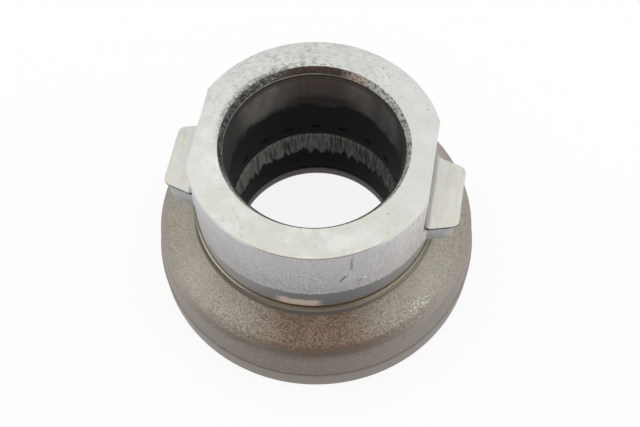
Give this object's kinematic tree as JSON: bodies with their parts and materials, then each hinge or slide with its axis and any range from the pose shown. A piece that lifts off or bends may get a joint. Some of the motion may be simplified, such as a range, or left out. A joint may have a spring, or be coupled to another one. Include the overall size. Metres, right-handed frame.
{
  "type": "clutch release bearing",
  "caption": "Clutch release bearing: a bushed guide sleeve with fork lugs and wear plates, and a flared thrust ring that turns on a ball race below it.",
  "frame": {"origin": "centre of the thrust face, on the bore axis", "axes": "+Z along the bore to the top of the guide sleeve, +X through the right fork lug"},
  "size_m": [0.12, 0.12, 0.068],
  "materials": {
    "sleeve_metal": "cast and turned, worn",
    "bush_polymer": "satin, axial rub marks",
    "plate_steel": "satin",
    "bearing_steel": "polished",
    "spring_steel": "oiled black",
    "cage_polymer": "moulded",
    "ring_steel": "blasted",
    "seal_rubber": "matte"
  },
  "bodies": {
    "sleeve_set": {"guide_sleeve": "sleeve_metal", "upper_bush": "bush_polymer", "lower_bush": "bush_polymer", "left_wear_plate": "plate_steel", "right_wear_plate": "plate_steel", "inner_ring": "bearing_steel", "snap_ring": "spring_steel"},
    "thrust_set": {"thrust_ring": "ring_steel", "upper_seal": "seal_rubber", "lower_seal": "seal_rubber"},
    "cage_set": {"ball_cage": "cage_polymer"},
    "rolling_ball_01": {"ball_01": "bearing_steel"},
    "rolling_ball_02": {"ball_02": "bearing_steel"},
    "rolling_ball_03": {"ball_03": "bearing_steel"},
    "rolling_ball_04": {"ball_04": "bearing_steel"},
    "rolling_ball_05": {"ball_05": "bearing_steel"},
    "rolling_ball_06": {"ball_06": "bearing_steel"},
    "rolling_ball_07": {"ball_07": "bearing_steel"},
    "rolling_ball_08": {"ball_08": "bearing_steel"},
    "rolling_ball_09": {"ball_09": "bearing_steel"},
    "rolling_ball_10": {"ball_10": "bearing_steel"},
    "rolling_ball_11": {"ball_11": "bearing_steel"},
    "rolling_ball_12": {"ball_12": "bearing_steel"},
    "rolling_ball_13": {"ball_13": "bearing_steel"},
    "rolling_ball_14": {"ball_14": "bearing_steel"},
    "rolling_ball_15": {"ball_15": "bearing_steel"},
    "rolling_ball_16": {"ball_16": "bearing_steel"}
  },
  "joints": [
    {"name": "thrust_ring_spin", "type": "hinge", "parent": "sleeve_set", "child": "thrust_set", "pos_m": [0, 0, 0.0175], "axis": [0, 0, 1], "continuous": true},
    {"name": "cage_spin", "type": "hinge", "parent": "sleeve_set", "child": "cage_set", "pos_m": [0, 0, 0.0175], "axis": [0, 0, 1], "continuous": true},
    {"name": "ball_01_roll", "type": "hinge", "parent": "cage_set", "child": "rolling_ball_01", "pos_m": [0.0425, 0, 0.0175], "axis": [0, 0, 1], "continuous": true},
    {"name": "ball_02_roll", "type": "hinge", "parent": "cage_set", "child": "rolling_ball_02", "pos_m": [0.03926, 0.01626, 0.0175], "axis": [0, 0, 1], "continuous": true},
    {"name": "ball_03_roll", "type": "hinge", "parent": "cage_set", "child": "rolling_ball_03", "pos_m": [0.03005, 0.03005, 0.0175], "axis": [0, 0, 1], "continuous": true},
    {"name": "ball_04_roll", "type": "hinge", "parent": "cage_set", "child": "rolling_ball_04", "pos_m": [0.01626, 0.03926, 0.0175], "axis": [0, 0, 1], "continuous": true},
    {"name": "ball_05_roll", "type": "hinge", "parent": "cage_set", "child": "rolling_ball_05", "pos_m": [0, 0.0425, 0.0175], "axis": [0, 0, 1], "continuous": true},
    {"name": "ball_06_roll", "type": "hinge", "parent": "cage_set", "child": "rolling_ball_06", "pos_m": [-0.01626, 0.03926, 0.0175], "axis": [0, 0, 1], "continuous": true},
    {"name": "ball_07_roll", "type": "hinge", "parent": "cage_set", "child": "rolling_ball_07", "pos_m": [-0.03005, 0.03005, 0.0175], "axis": [0, 0, 1], "continuous": true},
    {"name": "ball_08_roll", "type": "hinge", "parent": "cage_set", "child": "rolling_ball_08", "pos_m": [-0.03926, 0.01626, 0.0175], "axis": [0, 0, 1], "continuous": true},
    {"name": "ball_09_roll", "type": "hinge", "parent": "cage_set", "child": "rolling_ball_09", "pos_m": [-0.0425, 0, 0.0175], "axis": [0, 0, 1], "continuous": true},
    {"name": "ball_10_roll", "type": "hinge", "parent": "cage_set", "child": "rolling_ball_10", "pos_m": [-0.03926, -0.01626, 0.0175], "axis": [0, 0, 1], "continuous": true},
    {"name": "ball_11_roll", "type": "hinge", "parent": "cage_set", "child": "rolling_ball_11", "pos_m": [-0.03005, -0.03005, 0.0175], "axis": [0, 0, 1], "continuous": true},
    {"name": "ball_12_roll", "type": "hinge", "parent": "cage_set", "child": "rolling_ball_12", "pos_m": [-0.01626, -0.03926, 0.0175], "axis": [0, 0, 1], "continuous": true},
    {"name": "ball_13_roll", "type": "hinge", "parent": "cage_set", "child": "rolling_ball_13", "pos_m": [0, -0.0425, 0.0175], "axis": [0, 0, 1], "continuous": true},
    {"name": "ball_14_roll", "type": "hinge", "parent": "cage_set", "child": "rolling_ball_14", "pos_m": [0.01626, -0.03926, 0.0175], "axis": [0, 0, 1], "continuous": true},
    {"name": "ball_15_roll", "type": "hinge", "parent": "cage_set", "child": "rolling_ball_15", "pos_m": [0.03005, -0.03005, 0.0175], "axis": [0, 0, 1], "continuous": true},
    {"name": "ball_16_roll", "type": "hinge", "parent": "cage_set", "child": "rolling_ball_16", "pos_m": [0.03926, -0.01626, 0.0175], "axis": [0, 0, 1], "continuous": true}
  ],
  "couplings": [
    {"joint": "cage_spin", "follows": "thrust_ring_spin", "ratio": 0.55603},
    {"joint": "ball_01_roll", "follows": "thrust_ring_spin", "ratio": 4.4059},
    {"joint": "ball_02_roll", "follows": "thrust_ring_spin", "ratio": 4.4059},
    {"joint": "ball_03_roll", "follows": "thrust_ring_spin", "ratio": 4.4059},
    {"joint": "ball_04_roll", "follows": "thrust_ring_spin", "ratio": 4.4059},
    {"joint": "ball_05_roll", "follows": "thrust_ring_spin", "ratio": 4.4059},
    {"joint": "ball_06_roll", "follows": "thrust_ring_spin", "ratio": 4.4059},
    {"joint": "ball_07_roll", "follows": "thrust_ring_spin", "ratio": 4.4059},
    {"joint": "ball_08_roll", "follows": "thrust_ring_spin", "ratio": 4.4059},
    {"joint": "ball_09_roll", "follows": "thrust_ring_spin", "ratio": 4.4059},
    {"joint": "ball_10_roll", "follows": "thrust_ring_spin", "ratio": 4.4059},
    {"joint": "ball_11_roll", "follows": "thrust_ring_spin", "ratio": 4.4059},
    {"joint": "ball_12_roll", "follows": "thrust_ring_spin", "ratio": 4.4059},
    {"joint": "ball_13_roll", "follows": "thrust_ring_spin", "ratio": 4.4059},
    {"joint": "ball_14_roll", "follows": "thrust_ring_spin", "ratio": 4.4059},
    {"joint": "ball_15_roll", "follows": "thrust_ring_spin", "ratio": 4.4059},
    {"joint": "ball_16_roll", "follows": "thrust_ring_spin", "ratio": 4.4059}
  ]
}
